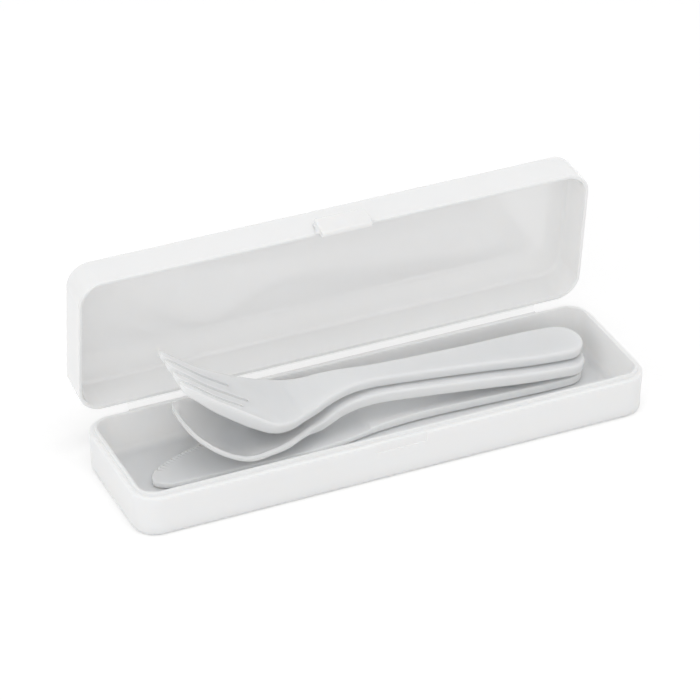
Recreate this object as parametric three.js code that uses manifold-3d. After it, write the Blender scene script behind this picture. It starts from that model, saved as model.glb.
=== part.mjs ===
// A hinged plastic cutlery case standing open, with a knife, a spoon and a fork stacked in its tray.
// Millimetres, Z up. X runs along the case, Y towards the hinge, and the origin is the middle of the
// tray's underside. The tray and the lid are two halves of one moulding that fold on a thin film.
import * as THREE from "three";
import { mergeVertices } from "three/addons/utils/BufferGeometryUtils.js";
import Module from "manifold-3d";

const wasm = await Module();
wasm.setup();

// Case
const caseLength = 195;
const caseWidth = 55;
const cornerRadius = 9;
const wallDraft = 0.4; // how far the walls lean in from the rim to the outer face of the floor or lid panel
const cornerSteps = 6;

// Tray
const trayHeight = 15.5; // to the ledge that the lid closes on
const trayFloor = 1.6;
const footRound = 1.6;
const ledgeRound = 0.5;
const lipHeight = 1.5;
const lipWidth = 1.2;
const lipClearance = 0.35; // between the lip and the inside of the closed lid
const lipRound = 0.3;
const trayInnerDraft = 0.5;
const trayInnerRound = 3;

// Lid
const lidDepth = 14.5;
const lidWall = 1.4;
const lidPanel = 1.2;
const lidRound = 1.8;
const lidInnerDraft = 0.4;
const lidInnerRound = 1.4;
const openAngle = 84; // degrees from shut

// Film hinge
const shutGap = 0.3; // between the ledge and the rim of the shut lid
const hingeSetback = 2; // hinge line behind the rear wall
const flangeLength = 159;
const flangeThickness = 1.3;
const flangeTaper = 1.1;
const filmThickness = 0.35;
const filmGap = 0.2; // each half of the film stops this far short of the hinge line
const filmWidth = 0.6;

// Closing tab on the lid and the shallow pocket that it drops over
const tabWidth = 18.4;
const tabRise = 8.6; // up the lid's front wall
const tabDrop = 3.3; // below the rim
const tabThickness = 1.6;
const tabRamp = 1.8; // slope at each end of the tab
const tabRoot = 0.6; // how far the tab is sunk into the wall
const tabBead = 0.3;
const pocketClearance = 0.4;
const pocketDepth = 0.45;

// Cutlery, shared
const restGap = 0.3;
const cutleryThickness = 4.1;
const edgeRound = 0.5;
const handleHalfWidth = 8.3;
const handleNeckHalfWidth = 5;
const handleDish = 0.15;
const sectionPoints = 7;

// Knife
const knifeHandleLength = 90;
const knifeBladeLength = 78;
const knifeEndGap = 8.5; // from the handle's end to the tray's end wall
const knifeHandleThickness = 3;
const knifeBladeThickness = 2;
const bladeSpine = 11.2; // near side of the blade, from the handle's axis
const bladeSpineRound = 8;
const bladeBelly = 11.4; // far, cutting side
const bladeBellyRound = 40;
const bladeTipOffset = 5.6; // tip towards the near side
const toothPitch = 1.4;
const toothDepth = 0.5;
const toothCount = 36;
const toothlessTip = 3;

// Spoon
const spoonHandleLength = 109;
const bowlLength = 50;
const spoonEndGap = 7.5;
const spoonWallGap = 0.95; // from the bowl to the tray's rear wall
const spoonPitch = 4.7; // degrees
const spoonHandleHalfWidth = 8.9;
const bowlHalfWidth = 18;
const bowlDrop = 8.3; // from the handle's line to the bowl's rim
const bowlDepth = 5.4;
const bowlWall = 2.3;
const bowlTipRound = 26;

// Fork
const forkHandleLength = 92;
const forkHeadLength = 69.7;
const forkEndGap = 6.5;
const forkWallGap = 0.65;
const forkPitch = 4; // degrees
const forkRoll = 4;
const forkHeadHalfWidth = 15.1;
const forkTipHalfWidth = 11.8;
const forkDrop = 4.3;
const tineRise = 22.3; // from the lowest point of the head's top face to the tips
const forkDish = 1.2;
const tineRootThickness = 5.1;
const tineTipThickness = 2.7;
const slotLength = 25.8;
const slotWidth = 1.3;
const middleSlotExtra = 5;
const middleSlotMouth = 2.8; // the middle slot widens towards the tips
const tineTipRound = 1.6;

// Colours and finish: translucent white polypropylene, the cutlery a little greyer than the case
const materials = {
  tray: new THREE.MeshStandardMaterial({ color: 0xf2f3f3, roughness: 0.42, metalness: 0 }),
  lid: new THREE.MeshStandardMaterial({ color: 0xf4f5f5, roughness: 0.4, metalness: 0 }),
  knife: new THREE.MeshStandardMaterial({ color: 0xe6e8e9, roughness: 0.35, metalness: 0 }),
  spoon: new THREE.MeshStandardMaterial({ color: 0xe8eaea, roughness: 0.35, metalness: 0 }),
  fork: new THREE.MeshStandardMaterial({ color: 0xebeced, roughness: 0.35, metalness: 0 }),
};

// Values that follow from the sizes above
const lipOuterInset = lidWall + lipClearance;
const lipInnerInset = lipOuterInset + lipWidth;
const hingeY = caseWidth / 2 + hingeSetback;
const hingeZ = trayHeight + shutGap / 2;
const trayEndWall = caseLength / 2 - lipInnerInset;
const trayRearWall = caseWidth / 2 - lipInnerInset;
const spoonY = trayRearWall - spoonWallGap - bowlHalfWidth;
const forkY = trayRearWall - forkWallGap - forkHeadHalfWidth;
const forkLength = forkHandleLength + forkHeadLength;

// Solids from three.js geometries, for joining and cutting
function solidOf(geometry) {
  const bare = geometry.clone();
  bare.deleteAttribute("normal");
  bare.deleteAttribute("uv");
  const merged = mergeVertices(bare, 1e-5);
  return new wasm.Manifold(new wasm.Mesh({
    numProp: 3,
    vertProperties: new Float32Array(merged.attributes.position.array),
    triVerts: new Uint32Array(merged.index.array),
  }));
}

function geometryOf(solid) {
  const mesh = solid.getMesh();
  const geometry = new THREE.BufferGeometry();
  geometry.setAttribute("position", new THREE.BufferAttribute(new Float32Array(mesh.vertProperties), 3));
  geometry.setIndex(new THREE.BufferAttribute(new Uint32Array(mesh.triVerts), 1));
  geometry.computeVertexNormals();
  return geometry;
}

// A closed body from rings of equal point counts, each ring anticlockwise seen from the last ring's side,
// with the first and the last ring closed by a fan to their middle points
function loft(rings) {
  const count = rings[0].length;
  const middle = (ring) => ring.reduce((sum, point) => sum.add(point), new THREE.Vector3()).divideScalar(count);
  const points = rings.flat();
  const first = points.push(middle(rings[0])) - 1;
  const last = points.push(middle(rings.at(-1))) - 1;
  const faces = [];
  for (let i = 0; i < count; i++) {
    const next = (i + 1) % count;
    faces.push(first, next, i);
    for (let row = 0; row < rings.length - 1; row++) {
      const [a, b] = [row * count, (row + 1) * count];
      faces.push(a + i, a + next, b + next, a + i, b + next, b + i);
    }
    const top = (rings.length - 1) * count;
    faces.push(top + i, top + next, last);
  }
  const geometry = new THREE.BufferGeometry().setFromPoints(points);
  geometry.setIndex(faces);
  geometry.computeVertexNormals();
  return geometry;
}

// Rounded rectangle parallel to the case's footprint, moved in by the inset
function footprint(inset, z) {
  const radius = Math.max(cornerRadius - inset, 0.5);
  const reachX = caseLength / 2 - inset - radius;
  const reachY = caseWidth / 2 - inset - radius;
  const ring = [];
  for (let corner = 0; corner < 4; corner++) {
    const signX = corner === 0 || corner === 3 ? 1 : -1;
    const signY = corner < 2 ? 1 : -1;
    for (let step = 0; step <= cornerSteps; step++) {
      const angle = (corner + step / cornerSteps) * Math.PI / 2;
      const x = signX * reachX + radius * Math.cos(angle);
      const y = signY * reachY + radius * Math.sin(angle);
      ring.push(new THREE.Vector3(x, y, z));
    }
  }
  return ring;
}

// Quarter round in a wall's profile of [inset, z] pairs
function quarter(insetCentre, zCentre, radius, fromDegrees, steps = 3) {
  return Array.from({ length: steps + 1 }, (_, step) => {
    const angle = THREE.MathUtils.degToRad(fromDegrees + 90 * step / steps);
    return [insetCentre - radius * Math.cos(angle), zCentre + radius * Math.sin(angle)];
  });
}

const shell = (profile) => loft(profile.map(([inset, z]) => footprint(inset, z)));

// A bar along X whose section is an outline in Y and Z
function barAlongX(outline, length) {
  const shape = new THREE.Shape(outline.map(([y, z]) => new THREE.Vector2(y, z)));
  const bar = new THREE.ExtrudeGeometry(shape, { depth: length, bevelEnabled: false });
  bar.translate(0, 0, -length / 2);
  const axes = [new THREE.Vector3(0, 1, 0), new THREE.Vector3(0, 0, 1), new THREE.Vector3(1, 0, 0)];
  return bar.applyMatrix4(new THREE.Matrix4().makeBasis(...axes));
}

// Half of the hinge as an outline in Y and height above its own rim plane: a tapered flange that thins
// to the film and stops just short of the hinge line
function hingeHalf(side) {
  const wall = hingeY - hingeSetback - lidWall / 2;
  const filmEnd = hingeY - filmGap;
  const flangeEnd = filmEnd - filmWidth;
  const outline = [
    [wall, 0], [filmEnd, 0], [filmEnd, filmThickness], [flangeEnd, filmThickness],
    [flangeEnd - flangeTaper / 2, flangeThickness], [wall, flangeThickness + flangeTaper],
  ];
  return outline.map(([y, z]) => [y, side * z]);
}

function makeTray() {
  const top = trayHeight + lipHeight;
  const innerFoot = lipInnerInset + trayInnerDraft;
  const profile = [
    ...quarter(wallDraft + footRound, footRound, footRound, -90),
    ...quarter(ledgeRound, trayHeight - ledgeRound, ledgeRound, 0),
    [lipOuterInset, trayHeight],
    ...quarter(lipOuterInset + lipRound, top - lipRound, lipRound, 0, 1),
    ...quarter(lipInnerInset - lipRound, top - lipRound, lipRound, 90, 1),
    ...quarter(innerFoot + trayInnerRound, trayFloor + trayInnerRound, trayInnerRound, 0)
      .map(([inset, z]) => [inset, 2 * (trayFloor + trayInnerRound) - z]),
  ];
  const flange = barAlongX(hingeHalf(-1).map(([y, z]) => [y, z + trayHeight]), flangeLength);
  const pocket = new THREE.BoxGeometry(
    tabWidth + 2 * pocketClearance, 2 * pocketDepth, 2 * (tabDrop + pocketClearance));
  pocket.translate(0, -caseWidth / 2, trayHeight);
  return geometryOf(solidOf(shell(profile)).add(solidOf(flange)).subtract(solidOf(pocket)));
}

// The closing tab, measured from the lid's rim: a wedge with ramped ends up the front wall, and below the
// rim a tongue with a bead along its inner face
function makeTab() {
  const face = -caseWidth / 2;
  const section = (x, rise) => [
    [face + tabRoot, 0], [face + tabRoot, tabRise], [face - 0.01, tabRise], [face - 0.01 - rise, 0],
  ].map(([y, z]) => new THREE.Vector3(x, y, z));
  const ends = [
    [-tabWidth / 2 - tabRamp, 0], [-tabWidth / 2, tabThickness],
    [tabWidth / 2, tabThickness], [tabWidth / 2 + tabRamp, 0],
  ];
  const wedge = loft(ends.map(([x, rise]) => section(x, rise)));
  const inner = face - lipClearance;
  const outer = face - 0.01 - tabThickness;
  const beadZ = -tabDrop + 2 * tabBead;
  const tongue = barAlongX([
    [face + tabRoot, 0], [outer, 0], [outer, -tabDrop + tabBead], [outer + tabBead, -tabDrop],
    [inner - tabBead, -tabDrop], [inner, -tabDrop + tabBead], [inner + tabBead, beadZ],
    [inner, beadZ + tabBead], [inner, -shutGap / 4], [face + tabRoot, -shutGap / 4],
  ], tabWidth);
  return solidOf(wedge).add(solidOf(tongue));
}

function makeLid() {
  const innerTop = lidDepth - lidPanel;
  const innerFoot = lidWall + lidInnerDraft;
  const profile = [
    ...quarter(innerFoot + lidInnerRound, innerTop - lidInnerRound, lidInnerRound, 0).reverse(),
    [lidWall, 0],
    [0, 0],
    ...quarter(wallDraft + lidRound, lidDepth - lidRound, lidRound, 0),
  ];
  const flange = barAlongX(hingeHalf(1), flangeLength);
  return geometryOf(solidOf(shell(profile)).add(solidOf(flange)).add(makeTab()));
}

// A smooth value along a piece of cutlery, through [place, value] points. Places 0 to 1 run along the
// handle from its end, and 1 to 2 along the head to the tip.
function along(handleLength, headLength, points) {
  const distance = (place) => Math.min(place, 1) * handleLength + Math.max(place - 1, 0) * headLength;
  const curve = new THREE.SplineCurve(points.map(([place, value]) => new THREE.Vector2(distance(place), value)));
  const samples = curve.getPoints(24 * points.length);
  return (u) => {
    const after = samples.findIndex((point) => point.x >= u);
    if (after <= 0) return after === 0 ? samples[0].y : samples.at(-1).y;
    const [a, b] = [samples[after - 1], samples[after]];
    return a.y + (b.y - a.y) * (u - a.x) / (b.x - a.x);
  };
}

// Share of the full width near a rounded end: a quarter ellipse over the given reach
const roundOff = (distance, reach) =>
  distance >= reach ? 1 : Math.sqrt(Math.max(0, 1 - (1 - distance / reach) ** 2));

// Distances along a piece: an even step, closer together over the round at each end
function stationsOf(length, step, startReach, endReach) {
  const ends = [0.012, 0.06, 0.16, 0.34, 0.62, 1];
  const middle = [];
  for (let u = startReach + step; u < length - endReach - step / 2; u += step) middle.push(u);
  return [
    ...ends.map((share) => share * startReach),
    ...middle,
    ...ends.map((share) => length - share * endReach).reverse(),
  ];
}

// A piece of cutlery in its own frame: the handle's end at X 0, the tip towards -X and the handle's top
// face at Z 0. At each station the top face is a shallow dish between its two edges, and the underside
// follows it at the given thickness, measured square to the slope.
function cutlery(stations, piece) {
  const slopeReach = 0.5;
  return loft(stations.map((u) => {
    const { near, far, height, dish, thickness } = piece;
    const slope = (height(u + slopeReach) - height(u - slopeReach)) / (2 * slopeReach);
    const depth = thickness(u) * Math.sqrt(1 + slope * slope);
    const centre = (far(u) - near(u)) / 2;
    const half = (far(u) + near(u)) / 2;
    const edge = Math.min(edgeRound, half / 3);
    const top = [];
    const under = [];
    for (let i = 0; i < sectionPoints; i++) {
      const v = 2 * i / (sectionPoints - 1) - 1;
      const sag = dish(u) * (1 - v * v);
      top.push(new THREE.Vector3(-u, centre + v * (half - edge / 2), height(u) - sag));
      under.push(new THREE.Vector3(-u, centre + v * (half - edge), height(u) - sag - depth));
    }
    const side = (sign) => [
      new THREE.Vector3(-u, centre + sign * half, height(u) - edge),
      new THREE.Vector3(-u, centre + sign * half, height(u) - depth + edge),
    ];
    return [...top, ...side(1), ...under.reverse(), ...side(-1).reverse()];
  }));
}

function makeKnife() {
  const length = knifeHandleLength + knifeBladeLength;
  const profile = (points) => along(knifeHandleLength, knifeBladeLength, points);
  const nearSide = profile([
    [0, handleHalfWidth], [0.22, handleHalfWidth], [0.67, handleHalfWidth * 0.78], [0.91, handleHalfWidth * 0.9],
    [1.15, bladeSpine * 0.95], [1.39, bladeSpine], [2, bladeSpine * 0.91],
  ]);
  const farSide = profile([
    [0, handleHalfWidth], [0.33, handleHalfWidth], [0.91, handleHalfWidth * 0.83],
    [1.15, bladeBelly * 0.82], [1.5, bladeBelly], [2, bladeBelly * 0.82],
  ]);
  const teethEnd = length - toothlessTip;
  const teethStart = teethEnd - toothCount * toothPitch;
  const stations = stationsOf(length, 5, handleHalfWidth, toothlessTip)
    .filter((u) => u < teethStart || u > teethEnd);
  const gullets = new Set();
  for (let tooth = 0; tooth <= toothCount; tooth++) {
    const point = teethEnd - tooth * toothPitch;
    stations.push(point);
    if (tooth === toothCount) break;
    gullets.add(point - toothPitch / 2);
    stations.push(point - toothPitch / 2);
  }
  stations.sort((a, b) => a - b);
  const end = (u) => roundOff(u, handleHalfWidth);
  const blade = knifeBladeThickness - knifeHandleThickness;
  return cutlery(stations, {
    near: (u) => end(u) * nearSide(u)
      - (nearSide(u) - bladeTipOffset) * (1 - roundOff(length - u, bladeSpineRound)),
    far: (u) => end(u) * farSide(u)
      - (farSide(u) + bladeTipOffset) * (1 - roundOff(length - u, bladeBellyRound))
      - (gullets.has(u) ? toothDepth : 0),
    height: profile([[0, 0], [0.87, 0], [1.05, blade], [2, blade]]),
    dish: () => 0,
    thickness: profile([
      [0, knifeHandleThickness], [0.87, knifeHandleThickness], [1.05, knifeBladeThickness], [2, knifeBladeThickness],
    ]),
  });
}

function makeSpoon() {
  const length = spoonHandleLength + bowlLength;
  const profile = (points) => along(spoonHandleLength, bowlLength, points);
  const half = profile([
    [0, spoonHandleHalfWidth], [0.2, spoonHandleHalfWidth], [0.43, spoonHandleHalfWidth * 0.79],
    [0.69, handleNeckHalfWidth * 1.04], [0.84, handleNeckHalfWidth], [0.98, bowlHalfWidth * 0.46],
    [1.16, bowlHalfWidth * 0.72], [1.42, bowlHalfWidth], [1.54, bowlHalfWidth], [2, bowlHalfWidth],
  ]);
  const outline = (u) => half(u) * roundOff(u, handleHalfWidth) * roundOff(length - u, bowlTipRound);
  const rim = profile([
    [0, -0.04], [0.34, -0.05], [0.69, -0.05], [0.8, -0.13], [0.89, -0.37], [0.98, -0.76], [1.16, -0.95],
    [1.4, -1], [1.56, -0.89], [1.72, -0.66], [1.88, -0.24], [2, 0.19],
  ]);
  return cutlery(stationsOf(length, 3.4, handleHalfWidth, bowlTipRound / 3), {
    near: outline,
    far: outline,
    height: (u) => bowlDrop * rim(u),
    dish: profile([
      [0, handleDish], [0.93, handleDish], [1.12, bowlDepth * 0.55], [1.4, bowlDepth],
      [1.64, bowlDepth * 0.95], [2, bowlDepth * 0.1],
    ]),
    thickness: profile([[0, cutleryThickness], [0.87, cutleryThickness], [1.16, bowlWall], [2, bowlWall]]),
  });
}

// The gap between two tines: a round root, straight sides and a mouth that flares to round the tips
function slotCutter(centre, length, mouthWidth) {
  const tip = -forkLength;
  const rootHalf = slotWidth / 2;
  const root = tip + length - rootHalf;
  const half = (x) => THREE.MathUtils.mapLinear(x, tip, root, mouthWidth / 2, rootHalf)
    + tineTipRound * Math.max(0, 1 - (x - tip) / (1.5 * tineTipRound)) ** 2;
  const side = (sign) => [tip, tip + tineTipRound / 2, tip + tineTipRound, tip + 1.5 * tineTipRound, root]
    .map((x) => new THREE.Vector2(x, centre + sign * half(x)));
  const arc = [-60, -30, 0, 30, 60].map((degrees) => {
    const angle = THREE.MathUtils.degToRad(degrees);
    return new THREE.Vector2(root + rootHalf * Math.cos(angle), centre + rootHalf * Math.sin(angle));
  });
  const mouth = [1, -1].map((sign) => new THREE.Vector2(tip - 1, centre + sign * half(tip)));
  const cutterHeight = 2 * forkLength;
  const shape = new THREE.Shape([...side(-1), ...arc, ...side(1).reverse(), ...mouth]);
  const cutter = new THREE.ExtrudeGeometry(shape, { depth: cutterHeight, bevelEnabled: false });
  return cutter.translate(0, 0, -cutterHeight / 2);
}

function makeFork() {
  const profile = (points) => along(forkHandleLength, forkHeadLength, points);
  const between = THREE.MathUtils.lerp;
  const half = profile([
    [0, handleHalfWidth], [0.22, handleHalfWidth], [0.52, handleHalfWidth * 0.75],
    [0.85, handleNeckHalfWidth * 0.96], [0.98, handleNeckHalfWidth * 1.04],
    [1.14, between(handleNeckHalfWidth, forkHeadHalfWidth, 0.23)],
    [1.29, between(handleNeckHalfWidth, forkHeadHalfWidth, 0.55)],
    [1.39, between(handleNeckHalfWidth, forkHeadHalfWidth, 0.85)],
    [1.49, forkHeadHalfWidth],
    [1.6, between(forkTipHalfWidth, forkHeadHalfWidth, 0.59)],
    [1.73, between(forkTipHalfWidth, forkHeadHalfWidth, 0.13)],
    [1.86, forkTipHalfWidth], [2, forkTipHalfWidth],
  ]);
  const outline = (u) => half(u) * roundOff(u, handleHalfWidth)
    - tineTipRound * (1 - roundOff(forkLength - u, 2 * tineTipRound));
  const blank = cutlery(stationsOf(forkLength, 3.2, handleHalfWidth, 2 * tineTipRound), {
    near: outline,
    far: outline,
    height: profile([
      [0, -0.07 * forkDrop], [0.3, -0.05 * forkDrop], [0.65, 0.02 * forkDrop], [0.93, 0.09 * forkDrop],
      [1.03, 0.02 * forkDrop], [1.13, -0.26 * forkDrop], [1.24, -0.79 * forkDrop], [1.34, -forkDrop],
      [1.43, 0.005 * tineRise - forkDrop], [1.52, 0.09 * tineRise - forkDrop],
      [1.66, 0.323 * tineRise - forkDrop], [1.79, 0.556 * tineRise - forkDrop],
      [1.9, 0.79 * tineRise - forkDrop], [2, tineRise - forkDrop],
    ]),
    dish: profile([[0, handleDish], [1.12, handleDish], [1.34, forkDish], [1.6, forkDish], [2, handleDish]]),
    thickness: profile([
      [0, cutleryThickness], [1.34, cutleryThickness], [1.52, between(cutleryThickness, tineRootThickness, 0.4)],
      [1.67, tineRootThickness], [1.83, between(tineTipThickness, tineRootThickness, 0.67)],
      [2, tineTipThickness],
    ]),
  });
  let solid = solidOf(blank);
  const tineWidth = (2 * forkTipHalfWidth - 2 * slotWidth - middleSlotMouth) / 4;
  const outerSlot = middleSlotMouth / 2 + tineWidth + slotWidth / 2;
  const slots = [
    [-outerSlot, slotLength, slotWidth],
    [0, slotLength + middleSlotExtra, middleSlotMouth],
    [outerSlot, slotLength, slotWidth],
  ];
  for (const [centre, length, mouth] of slots) {
    solid = solid.subtract(solidOf(slotCutter(centre, length, mouth)));
  }
  return geometryOf(solid);
}

function named(name, geometry) {
  const mesh = new THREE.Mesh(geometry, materials[name]);
  mesh.name = name;
  return mesh;
}

// Lowers a piece until its underside is one rest gap above the pieces below it, found by vertical rays
function settle(piece, below) {
  const step = 1.5;
  const low = -caseWidth;
  const high = 3 * caseWidth;
  piece.updateMatrixWorld(true);
  const box = new THREE.Box3().setFromObject(piece);
  const ray = new THREE.Raycaster();
  const hits = (objects, from, up) => {
    ray.set(from, new THREE.Vector3(0, 0, up));
    return ray.intersectObjects(objects, false);
  };
  const sides = [piece, ...below].map((mesh) => mesh.material.side);
  [piece, ...below].forEach((mesh) => { mesh.material.side = THREE.DoubleSide; });
  let drop = Infinity;
  for (let x = box.min.x; x <= box.max.x; x += step) {
    for (let y = box.min.y; y <= box.max.y; y += step) {
      const under = hits([piece], new THREE.Vector3(x, y, low), 1)[0];
      const over = hits(below, new THREE.Vector3(x, y, high), -1)[0];
      if (under && over) drop = Math.min(drop, under.point.z - over.point.z);
    }
  }
  [piece, ...below].forEach((mesh, i) => { mesh.material.side = sides[i]; });
  piece.position.z -= drop - restGap;
  piece.updateMatrixWorld(true);
}

const tray = named("tray", makeTray());
tray.updateMatrixWorld(true);

const lidSwing = new THREE.Group();
lidSwing.position.set(0, hingeY, hingeZ);
lidSwing.rotation.x = -THREE.MathUtils.degToRad(openAngle);
const lid = named("lid", makeLid());
lid.position.set(0, -hingeY, shutGap / 2);
lidSwing.add(lid);

const liftedAbove = caseWidth;
const knife = named("knife", makeKnife());
knife.position.set(trayEndWall - knifeEndGap, spoonY, liftedAbove);
settle(knife, [tray]);

const spoon = named("spoon", makeSpoon());
spoon.position.set(trayEndWall - spoonEndGap, spoonY, liftedAbove);
spoon.rotation.y = THREE.MathUtils.degToRad(spoonPitch);
settle(spoon, [tray, knife]);

const fork = named("fork", makeFork());
fork.position.set(trayEndWall - forkEndGap, forkY, liftedAbove);
fork.rotation.set(THREE.MathUtils.degToRad(forkRoll), THREE.MathUtils.degToRad(forkPitch), 0);
settle(fork, [tray, knife, spoon]);

const cutleryCase = new THREE.Group();
cutleryCase.add(tray, lidSwing, knife, spoon, fork);

export default cutleryCase;
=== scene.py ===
"""Looks for a hinged plastic cutlery case standing open, with a knife, a spoon and a fork in its tray.

Sizes are in millimetres until a mesh is written, and then in metres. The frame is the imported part's: X along
the case, Y towards the hinge, Z up, with the origin under the middle of the tray.
"""
import math

import bpy
import numpy as np
from mathutils import Matrix, Vector, geometry


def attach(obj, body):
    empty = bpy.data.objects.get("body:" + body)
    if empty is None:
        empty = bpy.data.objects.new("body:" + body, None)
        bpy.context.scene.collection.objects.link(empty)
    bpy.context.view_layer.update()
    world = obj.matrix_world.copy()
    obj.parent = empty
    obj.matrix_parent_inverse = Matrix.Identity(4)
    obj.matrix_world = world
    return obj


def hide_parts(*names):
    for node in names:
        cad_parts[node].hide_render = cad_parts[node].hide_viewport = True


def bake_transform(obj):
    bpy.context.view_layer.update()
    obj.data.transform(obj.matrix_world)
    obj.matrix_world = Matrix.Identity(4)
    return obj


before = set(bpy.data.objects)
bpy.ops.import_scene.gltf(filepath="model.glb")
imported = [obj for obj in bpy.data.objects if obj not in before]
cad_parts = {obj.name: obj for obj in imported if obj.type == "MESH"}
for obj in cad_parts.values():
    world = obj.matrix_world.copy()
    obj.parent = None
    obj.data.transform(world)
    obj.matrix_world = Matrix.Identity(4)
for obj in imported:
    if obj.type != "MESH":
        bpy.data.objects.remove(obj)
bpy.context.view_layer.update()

MM = 0.001

# Case
CASE_LENGTH = 195
CASE_WIDTH = 55
CORNER_RADIUS = 9
CORNER_STEPS = 14
WALL_DRAFT = 0.4
ROUND_HOLD = 0.8  # from a round to the next row of points, so that the wall beside it stays straight

# Tray
TRAY_HEIGHT = 15.5
TRAY_FLOOR = 1.6
FOOT_ROUND = 1.6
LEDGE_ROUND = 0.55
LIP_TOP = TRAY_HEIGHT + 1.5
LIP_OUTER = 1.75
LIP_INNER = 2.95
LIP_ROUND = 0.35
TRAY_INNER_FOOT = 3.45
TRAY_INNER_ROUND = 3
POCKET_HALF = 9.6
POCKET_DEPTH = 0.45
POCKET_FLOOR = 11.8

# Lid, in its shut frame with the rim at zero
LID_DEPTH = 14.5
LID_WALL = 1.4
LID_PANEL = 1.2
LID_ROUND = 1.8
LID_INNER_FOOT = 1.8
LID_INNER_ROUND = 1.4
RIM_ROUND = 0.25
RIM_HOLD = 0.7
LID_RIM = 15.8
OPEN_ANGLE = 84

# Hinge
HINGE_Y = 29.5
HINGE_Z = 15.65
FLANGE_LENGTH = 159
FLANGE_THICKNESS = 1.3
FLANGE_SPLAY = 1.1  # how much thicker a flange is where it meets the wall
FLANGE_TAPER = 0.5  # length of the thin tip
FLANGE_ROOT = 0.7  # reach into the wall
FLANGE_SUNK = 0.05  # behind the face of the ledge or the rim, so that no two faces lie in one plane
TRAY_FLANGE_SHORT = 1  # from the flange's end to the hinge line
LID_FLANGE_SHORT = 1.5
FILM_THICKNESS = 0.35
FILM_THINNER = 0.05  # than the flanges' tips, so that its far side ends within them
FILM_SUNK = 0.02  # behind the face of the ledge or the rim
FILM_OVERLAP = 0.2  # onto each flange
FOLD_RADIUS = 0.16  # of the film's inner side

# Tab, measured from the lid's rim: TAB_RISE up the wall, TAB_DROP below it
TAB_WIDTH = 19.1
TAB_MIDDLE = 1.3
TAB_RISE = 6
TAB_DROP = 2.7
TAB_UPPER = 2.9  # how far the tab stands proud at its upper end
TAB_LOWER = 1.5

# Cutlery
TRAY_END_WALL = CASE_LENGTH / 2 - LIP_INNER
HANDLE_HALF = 8.3
NECK_HALF = 5
SHEET = 4.1  # thickness of the spoon's and the fork's handles
DISH_WIDTH = 4  # how far inside its edge a handle's face reaches its full dip
TOOTH_PITCH = 1.4
TOOTH_DEPTH = 0.5
TOOTH_SINK = 0.45
TOOTH_START = 3  # from the blade's tip
TOOTH_COUNT = 36


# Meshes ---------------------------------------------------------------------------------------------------
def write_mesh(name, points, faces, sharp_degrees=34):
    """Millimetre points and faces as an object at the origin, smooth where neighbouring faces meet below an
    angle and sharp past it."""
    mesh = bpy.data.meshes.new(name)
    mesh.from_pydata((np.asarray(points) * MM).tolist(), [], faces)
    mesh.validate()
    mesh.shade_smooth()
    mesh.set_sharp_from_angle(angle=math.radians(sharp_degrees))
    piece = bpy.data.objects.new(name, mesh)
    bpy.context.collection.objects.link(piece)
    return piece


def grid_faces(rows, columns):
    """Quads of a grid whose columns close on themselves, with the first and last rows capped by one face."""
    row, column = np.meshgrid(np.arange(rows - 1), np.arange(columns), indexing="ij")
    after = (column + 1) % columns
    quads = np.stack([row * columns + column, row * columns + after,
                      (row + 1) * columns + after, (row + 1) * columns + column], -1).reshape(-1, 4)
    last = (rows - 1) * columns + np.arange(columns)
    return quads.tolist() + [np.arange(columns)[::-1].tolist(), last.tolist()]


def quarter(inset, height, radius, start, steps=6):
    """Quarter circle in a wall's profile: rows of inset and height, with the angle running on from start."""
    angle = np.radians(start + np.linspace(0, 90, steps + 1))
    return np.stack([inset - radius * np.cos(angle), height + radius * np.sin(angle)], -1)


def footprint_spokes(extra=()):
    """Centres and directions whose sum, with a radius between, draws the rounded rectangle: each corner turns
    a direction about its centre, and the extra X places are added along the front side."""
    turn = np.radians(np.linspace(0, 90, CORNER_STEPS + 1))
    reach = np.array([CASE_LENGTH / 2 - CORNER_RADIUS, CASE_WIDTH / 2 - CORNER_RADIUS])
    centres, directions = [], []
    for corner, sign in enumerate([(1, 1), (-1, 1), (-1, -1), (1, -1)]):
        angle = turn + corner * np.pi / 2
        centres.append(np.tile(reach * sign, (len(turn), 1)))
        directions.append(np.stack([np.cos(angle), np.sin(angle)], -1))
        if corner == 2 and len(extra):
            centres.append(np.stack([np.asarray(extra, float), np.full(len(extra), -reach[1])], -1))
            directions.append(np.tile([0.0, -1.0], (len(extra), 1)))
    return np.concatenate(centres), np.concatenate(directions)


def shell_points(profile, extra=()):
    """Grid of points: each profile row carries the footprint moved in by the row's inset, at its height."""
    centres, directions = footprint_spokes(extra)
    inset, height = np.asarray(profile, float).T
    flat = centres[None] + directions[None] * (CORNER_RADIUS - inset)[:, None, None]
    high = np.broadcast_to(height[:, None, None], flat.shape[:2] + (1,))
    return np.concatenate([flat, high], -1)


def opened(points):
    """Points of the shut lid, turned about the hinge line to where the lid stands open."""
    angle = math.radians(OPEN_ANGLE)
    y = points[..., 1] - HINGE_Y
    z = points[..., 2] - HINGE_Z
    turned_y = y * math.cos(angle) + z * math.sin(angle)
    turned_z = z * math.cos(angle) - y * math.sin(angle)
    return np.stack([points[..., 0], turned_y + HINGE_Y, turned_z + HINGE_Z], -1)


def bar_points(outline, xs):
    """An outline in Y and Z carried along X."""
    outline = np.asarray(outline, float)
    return np.stack([np.concatenate([np.full((len(outline), 1), x), outline], -1) for x in xs])


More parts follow.
